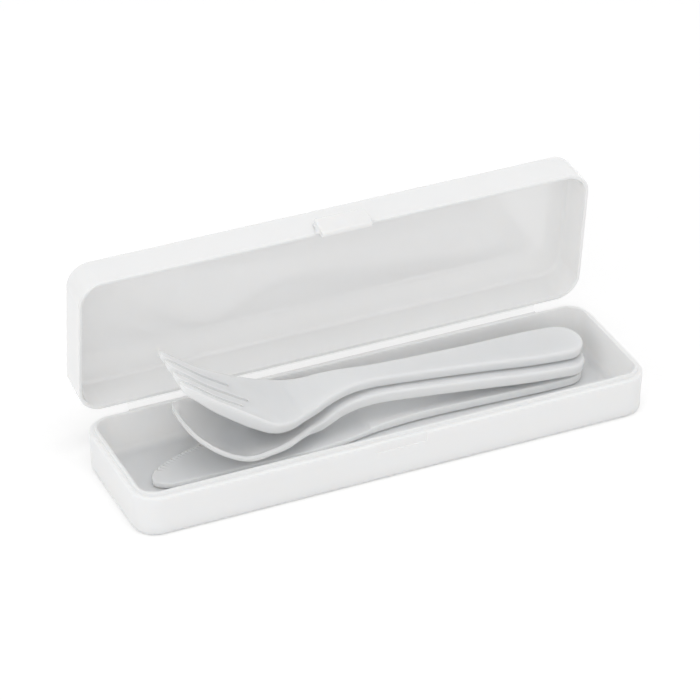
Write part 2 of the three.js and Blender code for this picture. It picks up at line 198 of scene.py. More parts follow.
def bevel(piece, width, segments=2, degrees=35):
    """Rounds a piece's sharp edges and settles its shading, then keeps the result as the mesh."""
    cut = piece.modifiers.new("Edge round", "BEVEL")
    cut.width = width * MM
    cut.segments = segments
    cut.limit_method = "ANGLE"
    cut.angle_limit = math.radians(degrees)
    cut.harden_normals = False
    depsgraph = bpy.context.evaluated_depsgraph_get()
    mesh = bpy.data.meshes.new_from_object(piece.evaluated_get(depsgraph))
    piece.modifiers.clear()
    piece.data = mesh
    mesh.shade_smooth()
    mesh.set_sharp_from_angle(angle=math.radians(50))
    return piece


def weigh_normals(piece):
    """Shades large flat faces flat, and leaves the turn to the narrow faces beside them."""
    weigh = piece.modifiers.new("Weighted normals", "WEIGHTED_NORMAL")
    weigh.keep_sharp = True
    return piece


# Case -----------------------------------------------------------------------------------------------------
def make_tray():
    """Tray: one profile runs from under the floor, up the outer wall, over the ledge and the lip, and down to
    the inner floor, and is carried round the footprint. The pocket moves the front wall's points in."""
    step, pocket_inset, crease, lip_hold = 0.06, 0.15, 0.15, 1.2
    profile = np.concatenate([
        [[WALL_DRAFT + FOOT_ROUND + 1, 0]],
        quarter(WALL_DRAFT + FOOT_ROUND, FOOT_ROUND, FOOT_ROUND, -90),
        [[pocket_inset, POCKET_FLOOR - step], [pocket_inset, POCKET_FLOOR + step]],
        quarter(LEDGE_ROUND, TRAY_HEIGHT - LEDGE_ROUND, LEDGE_ROUND, 0),
        [[LIP_OUTER - crease, TRAY_HEIGHT], [LIP_OUTER, TRAY_HEIGHT + crease]],
        quarter(LIP_OUTER + LIP_ROUND, LIP_TOP - LIP_ROUND, LIP_ROUND, 0, 4),
        quarter(LIP_INNER - LIP_ROUND, LIP_TOP - LIP_ROUND, LIP_ROUND, 90, 4),
        [[LIP_INNER + 0.04, LIP_TOP - lip_hold]],
        [[TRAY_INNER_FOOT - 0.04, TRAY_FLOOR + TRAY_INNER_ROUND + ROUND_HOLD]],
    ])
    foot = quarter(TRAY_INNER_FOOT + TRAY_INNER_ROUND, TRAY_FLOOR + TRAY_INNER_ROUND, TRAY_INNER_ROUND, 0, 8)
    foot[:, 1] = 2 * (TRAY_FLOOR + TRAY_INNER_ROUND) - foot[:, 1]
    profile = np.concatenate([
        profile, foot, [[TRAY_INNER_FOOT + TRAY_INNER_ROUND + ROUND_HOLD, TRAY_FLOOR]]])
    edges = [-POCKET_HALF - step, -POCKET_HALF + step, POCKET_HALF - step, POCKET_HALF + step]
    points = shell_points(profile, edges)
    inset, height = profile.T
    outer = (inset < 1) & (height > POCKET_FLOOR)
    in_pocket = outer[:, None] & (np.abs(points[..., 0]) < POCKET_HALF) & (points[..., 1] < -CASE_WIDTH / 2 + 2)
    points[..., 1] += np.where(in_pocket, POCKET_DEPTH, 0)
    rows, columns = points.shape[:2]
    return weigh_normals(write_mesh("tray_moulding", points.reshape(-1, 3), grid_faces(rows, columns)))


def make_lid():
    """Lid: the profile runs from the inside of the panel, down the inner wall, round the rim, up the outer
    wall and onto the panel, is carried round the footprint, and is then turned open about the hinge."""
    inner_top = LID_DEPTH - LID_PANEL
    profile = np.concatenate([
        [[LID_INNER_FOOT + LID_INNER_ROUND + ROUND_HOLD, inner_top]],
        quarter(LID_INNER_FOOT + LID_INNER_ROUND, inner_top - LID_INNER_ROUND, LID_INNER_ROUND, 0)[::-1],
        [[LID_INNER_FOOT - 0.03, inner_top - LID_INNER_ROUND - ROUND_HOLD]],
        [[LID_WALL + 0.02, RIM_ROUND + RIM_HOLD]],
        [[LID_WALL, RIM_ROUND], [LID_WALL - 0.08, 0.08], [LID_WALL - RIM_ROUND, 0]],
        [[RIM_ROUND, 0], [0.08, 0.08], [0, RIM_ROUND], [0.01, RIM_ROUND + RIM_HOLD]],
        [[WALL_DRAFT - 0.02, LID_DEPTH - LID_ROUND - ROUND_HOLD]],
        quarter(WALL_DRAFT + LID_ROUND, LID_DEPTH - LID_ROUND, LID_ROUND, 0, 8),
        [[WALL_DRAFT + LID_ROUND + ROUND_HOLD, LID_DEPTH]],
    ])
    points = shell_points(profile)
    points[..., 2] += LID_RIM
    rows, columns = points.shape[:2]
    points = opened(points).reshape(-1, 3)
    return weigh_normals(write_mesh("lid_moulding", points, grid_faces(rows, columns)))


def make_tab():
    """Closing tab: a raised plate on the lid's front wall. Each ring is its section at one distance from the
    rim: a flat top with rounded shoulders, and sides that sweep out to the wall, further the nearer the rim.
    The plate is thickest at its upper end and thins to the tongue's tip below the rim."""
    face = -CASE_WIDTH / 2
    length = TAB_RISE + TAB_DROP
    upper_round, lower_round, shoulder_round = 1.4, 0.7, 0.45
    draft, sweep, sweep_height = 0.25, 1.6, 5
    fan = 1 - np.cos(np.linspace(0.3, np.pi / 2, 6))
    down = np.concatenate([
        [0], fan * 1.2, np.linspace(1.6, length - 1, 10), length - 0.6 * fan[::-1], [length]])
    level = TAB_RISE - down
    ends = round_off(down, upper_round) * round_off(length - down, lower_round)
    proud = np.interp(down, [0, length], [TAB_UPPER, TAB_LOWER]) * (0.25 + 0.75 * ends)
    plan = round_off(down + 0.2, 1.6) * 0.12 + round_off(length - down + 0.1, 1.2) * 0.06 + 0.82
    top_half = TAB_WIDTH / 2 * plan
    flare = draft + sweep * np.clip(1 - level / sweep_height, 0, 1) ** 1.5 * (level > -0.2)
    wall = face + WALL_DRAFT * np.clip(level, 0, None) / LID_DEPTH
    turn = np.linspace(0, np.pi / 2, 5)[None]
    shoulder = np.minimum(shoulder_round, 0.6 * proud)[:, None]
    side = np.stack([
        top_half[:, None] + flare[:, None] * (1 - np.sin(turn)),
        (proud[:, None] - shoulder) * (1 - np.cos(turn))], -1)
    crown = np.stack([
        top_half[:, None] - shoulder * (1 - np.cos(turn[:, 1:])),
        proud[:, None] - shoulder * (1 - np.sin(turn[:, 1:]))], -1)
    inner = np.where(level > 0.1, -0.5, -0.02 - 0.3 * (level < -1.2) * (level > -2.4))
    skirt = np.stack([side[:, 0, 0], inner], -1)[:, None]
    half = np.concatenate([skirt, side, crown], 1)
    ring = np.concatenate([half, half[:, ::-1] * [-1, 1]], 1)
    points = np.stack([ring[..., 0] + TAB_MIDDLE, wall[:, None] - ring[..., 1],
                       np.broadcast_to(level[:, None] + LID_RIM, ring.shape[:2])], -1)
    rows, columns = points.shape[:2]
    return write_mesh("lid_tab", opened(points).reshape(-1, 3), grid_faces(rows, columns), 50)


def make_hinge():
    """Flanges of tray and lid, each a tapered outline carried along X, and the film between them: a strip
    that runs from one flange, round an arc of the opening angle about the hinge line, to the other."""
    wall = CASE_WIDTH / 2 - FLANGE_ROOT
    half = FLANGE_LENGTH / 2
    xs = np.array([-half, half])

    def flange(sign, level, end):
        """Section in Y and Z: thick at its root in the wall, thinner out to the taper, and the film's thickness
        at its end. sign is 1 where it lies above the level, and -1 where below."""
        return [[wall, level + sign * (FLANGE_THICKNESS + FLANGE_SPLAY)], [wall, level], [end, level],
                [end, level + sign * FILM_THICKNESS],
                [end - FLANGE_TAPER, level + sign * FLANGE_THICKNESS]][::sign]

    pieces = []
    for name, sign, level, end in (
            ("tray_flange", -1, TRAY_HEIGHT, HINGE_Y - TRAY_FLANGE_SHORT),
            ("lid_flange", 1, LID_RIM, HINGE_Y - LID_FLANGE_SHORT)):
        points = bar_points(flange(sign, level + FLANGE_SUNK * sign, end), xs)
        if sign > 0:
            points = opened(points)
        piece = write_mesh(name, points.reshape(-1, 3), grid_faces(2, points.shape[1]))
        pieces.append(bevel(piece, 0.12))
    turn = np.radians(np.linspace(0, 1, 13) * OPEN_ANGLE)
    start = np.array([[HINGE_Y - TRAY_FLANGE_SHORT - FILM_OVERLAP, TRAY_HEIGHT - FILM_SUNK]])
    fold_y = HINGE_Y - FOLD_RADIUS * 0.2
    arc = np.stack([fold_y + FOLD_RADIUS * np.sin(turn), HINGE_Z - FOLD_RADIUS * np.cos(turn)], -1)
    lid_end = opened(np.array([[0, HINGE_Y - LID_FLANGE_SHORT - FILM_OVERLAP, LID_RIM + FILM_SUNK]]))[:, 1:]
    near = np.concatenate([start, arc, lid_end])
    run = np.gradient(near, axis=0)
    normal = np.stack([run[:, 1], -run[:, 0]], -1) / np.linalg.norm(run, axis=1)[:, None]
    outline = np.concatenate([near, (near + normal * (FILM_THICKNESS - FILM_THINNER))[::-1]])
    points = bar_points(outline[::-1], np.linspace(-half, half, 9))
    film = write_mesh("hinge_film", points.reshape(-1, 3), grid_faces(9, points.shape[1]))
    return pieces + [film]


# Cutlery --------------------------------------------------------------------------------------------------
def along(handle, head, pairs):
    """Catmull-Rom curve through places and values, as a function of the distance from the handle's end. Places
    0 to 1 run along the handle, and 1 to 2 along the head."""
    place, value = np.asarray(pairs, float).T
    points = np.stack([np.minimum(place, 1) * handle + np.maximum(place - 1, 0) * head, value], -1)
    t = np.linspace(0, len(points) - 1, 40 * len(points))
    i = np.minimum(t.astype(int), len(points) - 2)
    w = (t - i)[:, None]
    p0, p1 = points[np.maximum(i - 1, 0)], points[i]
    p2, p3 = points[i + 1], points[np.minimum(i + 2, len(points) - 1)]
    v0, v1 = (p2 - p0) / 2, (p3 - p1) / 2
    curve = (2 * p1 - 2 * p2 + v0 + v1) * w**3 + (3 * p2 - 3 * p1 - 2 * v0 - v1) * w**2 + v0 * w + p1
    return lambda u: np.interp(u, curve[:, 0], curve[:, 1])


def round_off(distance, reach):
    """Share of the full width near a rounded end: a quarter ellipse over the reach."""
    return np.sqrt(np.clip(1 - (1 - np.clip(distance / reach, 0, 1)) ** 2, 0, 1))


def ease(share):
    """Smooth step of a share kept between 0 and 1: three times its square less twice its cube."""
    share = np.clip(share, 0, 1)
    return share**2 * (3 - 2 * share)


def clustered(length, start, end, step=0.8):
    """Distances along a piece, closer together over the round at each end."""
    fan = 1 - np.cos(np.linspace(0, np.pi / 2, 24))
    return np.unique(np.concatenate([fan * start, np.arange(start, length - end, step), length - fan * end]))


def even(path, step):
    """A closed path resampled to even steps."""
    closed = np.concatenate([path, path[:1]])
    length = np.concatenate([[0], np.cumsum(np.linalg.norm(np.diff(closed, axis=0), axis=1))])
    count = int(round(length[-1] / step))
    at = np.linspace(0, length[-1], count, endpoint=False)
    return np.stack([np.interp(at, length, closed[:, 0]), np.interp(at, length, closed[:, 1])], -1)


def inward(path):
    """Unit normals of a closed anticlockwise path, pointing in: the line from the point before to the point
    after, turned a quarter to the left."""
    tangent = np.roll(path, -1, 0) - np.roll(path, 1, 0)
    tangent /= np.linalg.norm(tangent, axis=1)[:, None]
    return np.stack([-tangent[:, 1], tangent[:, 0]], -1)


def inside(points, path):
    """Which points lie inside a closed path, by crossings."""
    a, b = path, np.roll(path, -1, 0)
    x, y = points[:, 0, None], points[:, 1, None]
    spans = (a[:, 1] > y) != (b[:, 1] > y)
    rise = np.where(b[:, 1] == a[:, 1], 1e-12, b[:, 1] - a[:, 1])
    cross = (b[:, 0] - a[:, 0]) * (y - a[:, 1]) / rise + a[:, 0]
    return (spans & (x < cross)).sum(1) % 2 == 1


def distance_to(points, path):
    """Distance from each point to the nearest corner of a closely stepped path."""
    return np.concatenate([
        np.linalg.norm(part[:, None] - path[None], axis=-1).min(1) for part in np.array_split(points, 12)])


def plate(path, top, under, pitch, edge, edge_steps=4, borders=(), teeth=None):
    """A moulded plate: the path is its plan outline. Its edge is a quarter round swept along the path above
    and below, of one radius or one for each point, with more rings at the border distances, and its two faces
    are filled between with an even grid.
    top and under give the faces' heights. teeth is 0 to 1 along the path: it cuts the outline in, and sinks
    the top, less and less up to the last border."""
    normal = inward(path)
    angle = np.linspace(0, np.pi / 2, edge_steps + 1)[:, None]
    border = np.outer(borders, np.ones(len(path))).reshape(-1, len(path))
    insets = np.concatenate([edge * (1 - np.cos(angle)) * np.ones(len(path)), border])
    drops = np.concatenate([edge * (1 - np.sin(angle)) * np.ones(len(path)), 0 * border])
    cut = np.zeros(len(path)) if teeth is None else teeth
    fade = 1 - insets / insets[-1]
    rings = [path + normal * (inset + TOOTH_DEPTH * cut * left)[:, None] for inset, left in zip(insets, fade)]
    core = rings[-1]
    low, high = core.min(0), core.max(0)
    lattice = np.stack(np.meshgrid(np.arange(low[0], high[0], pitch), np.arange(low[1], high[1], pitch)), -1)
    lattice = lattice.reshape(-1, 2)
    lattice = lattice[inside(lattice, core)]
    lattice = lattice[distance_to(lattice, core) > 0.55 * pitch]
    count = len(path)
    seeds = np.concatenate([core, lattice])
    ring = list(range(count))
    filled = geometry.delaunay_2d_cdt(list(map(Vector, seeds.tolist())), [], [ring], 1, 1e-7)
    flat = np.array(filled[0])
    triangles = np.array(filled[2])
    assert len(flat) == len(seeds)
    upper = [np.column_stack([r, top(r) - drop - TOOTH_SINK * cut * np.minimum(1, 1.6 * left)])
             for r, drop, left in zip(rings, drops, fade)]
    lower = [np.column_stack([r, under(r) + drop]) for r, drop in zip(rings, drops)]
    wall = np.concatenate(upper[::-1] + lower)
    top_inner = np.column_stack([lattice, top(lattice)])
    under_inner = np.column_stack([lattice, under(lattice)])
    rows = 2 * len(rings)
    row, column = np.meshgrid(np.arange(rows - 1), np.arange(count), indexing="ij")
    after = (column + 1) % count
    quads = np.stack([row * count + column, (row + 1) * count + column,
                      (row + 1) * count + after, row * count + after], -1).reshape(-1, 4)
    shift_top = np.where(triangles < count, triangles, triangles - count + rows * count)
    shift_under = np.where(triangles < count, triangles + (rows - 1) * count,
                           triangles - count + rows * count + len(lattice))
    points = np.concatenate([wall, top_inner, under_inner])
    return points, quads.tolist() + shift_top.tolist() + shift_under[:, ::-1].tolist()


def laid(points, place, pitch, roll=0):
    """Points of a piece, pitched about Y, rolled about X and set down at its place."""
    turn = Matrix.Rotation(math.radians(roll), 3, "X") @ Matrix.Rotation(math.radians(pitch), 3, "Y")
    return points @ np.array(turn).T + np.array(place)


def slope(height, u):
    """How much thicker a sheet measures straight down where its height climbs: the root of one plus the
    square of the climb over a millimetre."""
    return np.sqrt(1 + (height(u + 0.5) - height(u - 0.5)) ** 2)


def make_knife():
    """Knife: two edges run from a round handle end to the tip, which lies to one side. The far edge has
    teeth, a triangle wave along the blade, and the blade thins towards it with the square of the nearness."""
    handle, blade = 90, 78
    length = handle + blade
    spine, belly, tip_offset = 11.2, 11.4, 5.6
    near_tip, far_tip = 8, 40
    grind_width, grind_depth, dip = 9, 0.55, 0.18
    near_side = along(handle, blade, [
        [0, HANDLE_HALF], [0.22, HANDLE_HALF], [0.67, HANDLE_HALF * 0.78], [0.91, HANDLE_HALF * 0.9],
        [1.15, spine * 0.95], [1.39, spine], [2, spine * 0.91]])
    far_side = along(handle, blade, [
        [0, HANDLE_HALF], [0.33, HANDLE_HALF], [0.91, HANDLE_HALF * 0.83], [1.15, belly * 0.82],
        [1.5, belly], [2, belly * 0.82]])
    height = along(handle, blade, [[0, 0], [0.87, 0], [1.05, -1], [2, -1]])
    thickness = along(handle, blade, [[0, 3], [0.87, 3], [1.05, 2], [2, 2]])
    u = clustered(length, HANDLE_HALF, near_tip, 0.35)
    end = round_off(u, HANDLE_HALF)
    near = end * near_side(u) - (near_side(u) - tip_offset) * (1 - round_off(length - u, near_tip))
    far = end * far_side(u) - (far_side(u) + tip_offset) * (1 - round_off(length - u, far_tip))
    path = np.concatenate([np.stack([-u, far], -1), np.stack([-u, -near], -1)[::-1][1:-1]])
    path = even(path, 0.28)
    phase = (length - TOOTH_START + path[:, 0]) / TOOTH_PITCH
    middle = (far_side(-path[:, 0]) - near_side(-path[:, 0])) / 2
    toothed = (phase > 0) & (phase < TOOTH_COUNT) & (path[:, 1] > middle)
    teeth = np.where(toothed, 1 - np.abs(2 * (phase % 1) - 1), 0)

    def top(p):
        """The blank's height, less the grind, which grows with the square of the nearness to the toothed edge,
        and less the handle's dip."""
        ground = np.clip((p[:, 1] + grind_width - far_side(-p[:, 0])) / grind_width, 0, 1)
        on_blade = np.clip((-p[:, 0] - handle - 6) / 14, 0, 1)
        dish = dip * ease(distance_to(p, path) / DISH_WIDTH) * (1 - on_blade)
        return height(-p[:, 0]) - grind_depth * ground**2 * on_blade - dish

    def under(p):
        """The blank's height less its thickness."""
        return height(-p[:, 0]) - thickness(-p[:, 0])

    points, faces = plate(path, top, under, 1.2, 0.4, borders=(0.8, 1.3, 1.9, 2.5), teeth=teeth)
    return write_mesh("knife_moulding", laid(points, (TRAY_END_WALL - 8.5, 5.6, 4.98), 0), faces)


def make_spoon():
    """Spoon: a flat rim all round, and a bowl sunk inside it by a smooth function of the distance from the
    rim, with the handle cranked up from it. The near side is a little wider than the far one. The bowl is
    then tilted: a point rises by its distance from the near edge times the tilt's tangent, eased in from the
    neck on."""
    handle, bowl = 109, 50
    length = handle + bowl
    butt, widest, bowl_end, flat_rim = 8.9, 18, 26, 1.5
    drop, depth, wall, dip = 8.3, 5.4, 1.7, 0.2
    tilt, tilt_start, tilt_reach = 6.5, 108, 30
    handle_edge, bowl_edge = 0.85, 0.6
    stem = [[0, butt], [0.2, butt], [0.43, butt * 0.79], [0.69, NECK_HALF * 1.04], [0.84, NECK_HALF]]
    far_half = along(handle, bowl, stem + [
        [0.98, widest * 0.42], [1.1, widest * 0.59], [1.22, widest * 0.78], [1.34, widest * 0.93],
        [1.46, widest], [1.58, widest], [2, widest]])
    near_half = along(handle, bowl, stem + [
        [0.98, widest * 0.43], [1.1, widest * 0.62], [1.22, widest * 0.83], [1.34, widest * 0.99],
        [1.46, widest * 1.06], [1.58, widest * 1.06], [2, widest * 1.06]])
    rim = along(handle, bowl, [
        [0, -0.04], [0.34, -0.05], [0.69, -0.05], [0.8, -0.13], [0.89, -0.37], [0.98, -0.84], [1.16, -0.96],
        [1.4, -0.94], [1.56, -1.06], [1.72, -0.85], [1.88, -0.4], [2, 0.19]])
    thickness = along(handle, bowl, [[0, SHEET], [0.87, SHEET], [1.16, wall], [2, wall]])
    u = clustered(length, HANDLE_HALF, bowl_end)
    ends = round_off(u, HANDLE_HALF) * round_off(length - u, bowl_end)
    far, near = far_half(u) * ends, near_half(u) * ends
    path = even(np.concatenate([np.stack([-u, far], -1), np.stack([-u, -near], -1)[::-1][1:-1]]), 0.6)

    def height(v):
        """The drop times the rim's curve."""
        return drop * rim(v)

    def sunk(p):
        """How far the upper face lies below the rim: in the bowl, the depth times one less a power of the share
        left to the middle, and on the handle its dip."""
        away = distance_to(p, path)
        share = np.clip((away - flat_rim) / (widest - 2 * flat_rim), 0, 1)
        in_bowl = ease((-p[:, 0] - handle + 12) / 22)
        dish = dip * (1 - in_bowl) * ease(away / DISH_WIDTH)
        return depth * in_bowl * (1 - (1 - share) ** 2.2) + dish

    def top(p):
        """The rim's height less how far the face is sunk."""
        return height(-p[:, 0]) - sunk(p)

    def under(p):
        """The rim's height less the thickness straight down, and from the neck on also less how far the face
        is sunk."""
        u = -p[:, 0]
        hollow = np.where(u > handle - 12, sunk(p), 0)
        return height(u) - hollow - thickness(u) * slope(height, u)

    edge = np.interp(-path[:, 0], [handle - 8, handle + 12], [handle_edge, bowl_edge])
    points, faces = plate(path, top, under, 1.0, edge, 6)
    u = -points[:, 0]
    climb = math.tan(math.radians(tilt)) * ease((u - tilt_start) / tilt_reach)
    points[:, 2] += (points[:, 1] + near_half(u)) * climb
    return write_mesh("spoon_moulding", laid(points, (TRAY_END_WALL - 7.5, 5.6, 9.84), 4.7), faces)


def make_fork():
    """Fork: the plan outline goes round the handle, the head and each of the four tines, whose slots have
    round roots and whose tips have round corners. The head dips and then climbs to the tips. The edge's
    radius falls from the handle's to the tines' in the slots and towards the tips."""
    handle, head = 92, 69.7
    length = handle + head
    widest, tip_half, drop, rise = 15.1, 11.8, 4.3, 22.3
    slot_length, slot, middle_extra, mouth, tip_round = 25.8, 1.3, 5, 2.8, 1.9
    handle_edge, tine_edge, dip = 1.05, 0.5, 0.22

    def between(a, b, share):
        """The value a share of the way from a to b."""
        return a + (b - a) * share

    half = along(handle, head, [
        [0, HANDLE_HALF], [0.22, HANDLE_HALF], [0.52, HANDLE_HALF * 0.75], [0.85, NECK_HALF * 0.96],
        [0.98, NECK_HALF * 1.04], [1.14, between(NECK_HALF, widest, 0.23)],
        [1.29, between(NECK_HALF, widest, 0.55)], [1.39, between(NECK_HALF, widest, 0.85)], [1.49, widest],
        [1.6, between(tip_half, widest, 0.59)], [1.73, between(tip_half, widest, 0.13)],
        [1.86, tip_half], [2, tip_half]])
    height = along(handle, head, [
        [0, -0.07 * drop], [0.3, -0.05 * drop], [0.65, 0.02 * drop], [0.93, 0.09 * drop], [1.03, 0.02 * drop],
        [1.13, -0.26 * drop], [1.24, -0.79 * drop], [1.34, -drop], [1.43, 0.005 * rise - drop],
        [1.52, 0.09 * rise - drop], [1.66, 0.323 * rise - drop], [1.79, 0.556 * rise - drop],
        [1.9, 0.79 * rise - drop], [2, rise - drop]])
    dish = along(handle, head, [[0, 0], [1.12, 0], [1.34, 1.2], [1.6, 1.2], [2, 0.15]])
    thickness = along(handle, head, [
        [0, SHEET], [1.34, SHEET], [1.52, 4.5], [1.67, 5.1], [1.83, 4.2], [1.95, 3], [2, 2]])
    u = clustered(length, HANDLE_HALF, tip_round)
    u = u[u <= length - tip_round]
    side = half(u) * round_off(u, HANDLE_HALF)
    tine = (2 * tip_half - 2 * slot - mouth) / 4
    turn = np.radians(np.linspace(0, 90, 8))
    round_x, round_y = tip_round * np.sin(turn), tip_round * (1 - np.cos(turn))
    corner_up = np.stack([-length + tip_round - round_x, -round_y], -1)
    corner_down = np.stack([-length + tip_round - round_x, round_y], -1)[::-1]

    def slot_path(centre, reach, wide):
        """A slot's outline: from its width at the tips straight to a half circle at its root, and back."""
        root = -length + reach - slot / 2
        bend = np.radians(np.linspace(90, -90, 12))
        arc = np.stack([root + slot / 2 * np.cos(bend), centre + slot / 2 * np.sin(bend)], -1)
        start = [[-length + tip_round, centre + wide / 2]]
        stop = [[-length + tip_round, centre - wide / 2]]
        return np.concatenate([start, arc, stop])

    outer = mouth / 2 + tine + slot / 2
    parts = [np.stack([-u, side], -1)]
    slots = [(outer, slot_length, slot), (0, slot_length + middle_extra, mouth), (-outer, slot_length, slot)]
    edges = [tip_half] + [y for centre, _, wide in slots for y in (centre + wide / 2, centre - wide / 2)]
    edges.append(-tip_half)
    for i in range(4):
        parts.append(corner_up + [0, edges[2 * i]])
        parts.append(corner_down + [0, edges[2 * i + 1]])
        if i < 3:
            parts.append(slot_path(*slots[i]))
    parts.append(np.stack([-u, -side], -1)[::-1][:-1])
    path = even(np.concatenate(parts), 0.42)
    blank = np.concatenate([np.stack([-u, side], -1), np.stack([-u, -side], -1)[::-1]])

    def top(p):
        """The height along the fork, less the dish, a parabola across it, and less the handle's dip."""
        u = -p[:, 0]
        across = np.clip(p[:, 1] / half(u), -1, 1)
        on_handle = np.clip((handle - u) / 20, 0, 1)
        dipped = dip * on_handle * ease(distance_to(p, blank) / DISH_WIDTH)
        return height(u) - dish(u) * (1 - across**2) - dipped

    def under(p):
        """The same height less the dish and less the thickness straight down."""
        u = -p[:, 0]
        across = np.clip(p[:, 1] / half(u), -1, 1)
        return height(u) - dish(u) * (1 - across**2) - thickness(u) * slope(height, u)

    tines = np.clip((distance_to(path, blank) - 0.4) / 0.6, 0, 1)
    tines = np.maximum(tines, np.clip((-path[:, 0] - length + 6) / 5, 0, 1))
    tines = (tines + np.roll(tines, 1) + np.roll(tines, -1) + np.roll(tines, 2) + np.roll(tines, -2)) / 5
    points, faces = plate(path, top, under, 0.9, handle_edge - (handle_edge - tine_edge) * tines, 6)
    return write_mesh("fork_moulding", laid(points, (TRAY_END_WALL - 6.5, 8.8, 14.67), 4, 4), faces)


# Materials ------------------------------------------------------------------------------------------------
PLASTIC_IOR = 1.49
COAT_IOR = 1.9  # above the plastic's own, so that the polished lid mirrors more strongly
# Widths of the patterns in millimetres, of which a texture's scale is the number in a metre
CLOUD_WIDTH = 45
WAVE_WIDTH = 14
GRAIN_WIDTH = 0.5  # finer than 0.1 in fact, and drawn this coarse so that it shows
FILM_CLOUD_WIDTH = 9


def linear(code):
    """An sRGB hex colour as linear RGBA."""
    value = np.array([int(code[i:i + 2], 16) for i in (1, 3, 5)]) / 255
    low = value <= 0.04045
    return (*np.where(low, value / 12.92, ((value + 0.055) / 1.055) ** 2.4).tolist(), 1)


def add(tree, kind, values=None, links=None, **settings):
    """Adds a node: settings are its properties, values its sockets' defaults, and links its inputs."""
    node = tree.nodes.new(kind)
    for name, value in settings.items():
        setattr(node, name, value)
    for socket, value in (values or {}).items():
        node.inputs[socket].default_value = value
    for socket, source in (links or {}).items():
        tree.links.new(source, node.inputs[socket])
    return node


def new_material(name):
    """An empty node material and its tree."""
    material = bpy.data.materials.new(name)
    material.use_nodes = True
    material.node_tree.nodes.clear()
    return material, material.node_tree


def polypropylene(name, colour, shade, roughness, depth, level=0.5, coat=0.0):
    """Injection-moulded polypropylene. It is milky, because light travels about depth millimetres under the
    skin, and satin, from the fine grain of the spark-eroded mould. Wide clouds turn colour and gloss a little
    where the melt cooled at different rates, and waves bend the skin where it shrank. level is the strength
    of the satin's own sheen, and coat that of the hard, clear skin left by a polished mould."""
    material, tree = new_material(name)
    place = add(tree, "ShaderNodeTexCoord").outputs["Object"]
    clouds = add(tree, "ShaderNodeTexNoise", {"Scale": 1000 / CLOUD_WIDTH, "Detail": 3, "Roughness": 0.5},
                 {"Vector": place})
    grain = add(tree, "ShaderNodeTexNoise", {"Scale": 1000 / GRAIN_WIDTH, "Detail": 2, "Roughness": 0.6},
                {"Vector": place})
    waves = add(tree, "ShaderNodeTexNoise", {"Scale": 1000 / WAVE_WIDTH, "Detail": 2, "Roughness": 0.4},
                {"Vector": place})
    tint = add(tree, "ShaderNodeMix", {"A": linear(shade), "B": linear(colour)},
               {"Factor": clouds.outputs["Fac"]}, data_type="RGBA")
    gloss = add(tree, "ShaderNodeMapRange", {"To Min": roughness - 0.05, "To Max": roughness + 0.05},
                {"Value": clouds.outputs["Fac"]})
    shallow = add(tree, "ShaderNodeBump", {"Strength": 0.12, "Distance": 0.25 * MM},
                  {"Height": waves.outputs["Fac"]})
    fine = add(tree, "ShaderNodeBump", {"Strength": 0.1, "Distance": 0.02 * MM},
               {"Height": grain.outputs["Fac"], "Normal": shallow.outputs["Normal"]})
    skin = add(tree, "ShaderNodeBsdfPrincipled",
               {"IOR": PLASTIC_IOR, "Subsurface Weight": 1.0, "Subsurface Scale": depth * MM,
                "Subsurface Radius": (1.0, 0.95, 0.9), "Specular IOR Level": level,
                "Coat Weight": coat, "Coat Roughness": 0.02, "Coat IOR": COAT_IOR},
               {"Base Color": tint.outputs["Result"], "Roughness": gloss.outputs["Result"],
                "Normal": fine.outputs["Normal"]})
    output = add(tree, "ShaderNodeOutputMaterial")
    tree.links.new(skin.outputs["BSDF"], output.inputs["Surface"])
    return material


def thin_polypropylene(name, colour):
    """Injection-moulded polypropylene thinned to a film and whitened where it folds: most light passes
    through it, so it glows against a bright ground. Small clouds turn its gloss a little."""
    material, tree = new_material(name)
    place = add(tree, "ShaderNodeTexCoord").outputs["Object"]
    clouds = add(tree, "ShaderNodeTexNoise", {"Scale": 1000 / FILM_CLOUD_WIDTH, "Detail": 2}, {"Vector": place})
    gloss = add(tree, "ShaderNodeMapRange", {"To Min": 0.3, "To Max": 0.42}, {"Value": clouds.outputs["Fac"]})
    skin = add(tree, "ShaderNodeBsdfPrincipled", {"IOR": PLASTIC_IOR, "Base Color": linear(colour)},
               {"Roughness": gloss.outputs["Result"]})
    through = add(tree, "ShaderNodeBsdfTranslucent", {"Color": linear(colour)})
    clear = add(tree, "ShaderNodeBsdfTransparent")
    both = add(tree, "ShaderNodeMixShader", {0: 0.5}, {1: skin.outputs["BSDF"], 2: through.outputs["BSDF"]})
    film = add(tree, "ShaderNodeMixShader", {0: 0.94}, {1: both.outputs["Shader"], 2: clear.outputs["BSDF"]})
    output = add(tree, "ShaderNodeOutputMaterial")
    tree.links.new(film.outputs["Shader"], output.inputs["Surface"])
    return material


def white_to_the_eye(tree):
    """1 for rays from the camera, mirror-like rays and rays through clear material, and 0 for the rest."""
    path = add(tree, "ShaderNodeLightPath")
    first = add(tree, "ShaderNodeMath", operation="MAXIMUM",
                links={0: path.outputs["Is Camera Ray"], 1: path.outputs["Is Glossy Ray"]})
    return add(tree, "ShaderNodeMath", operation="MAXIMUM",
               links={0: first.outputs[0], 1: path.outputs["Is Transmission Ray"]}).outputs[0]


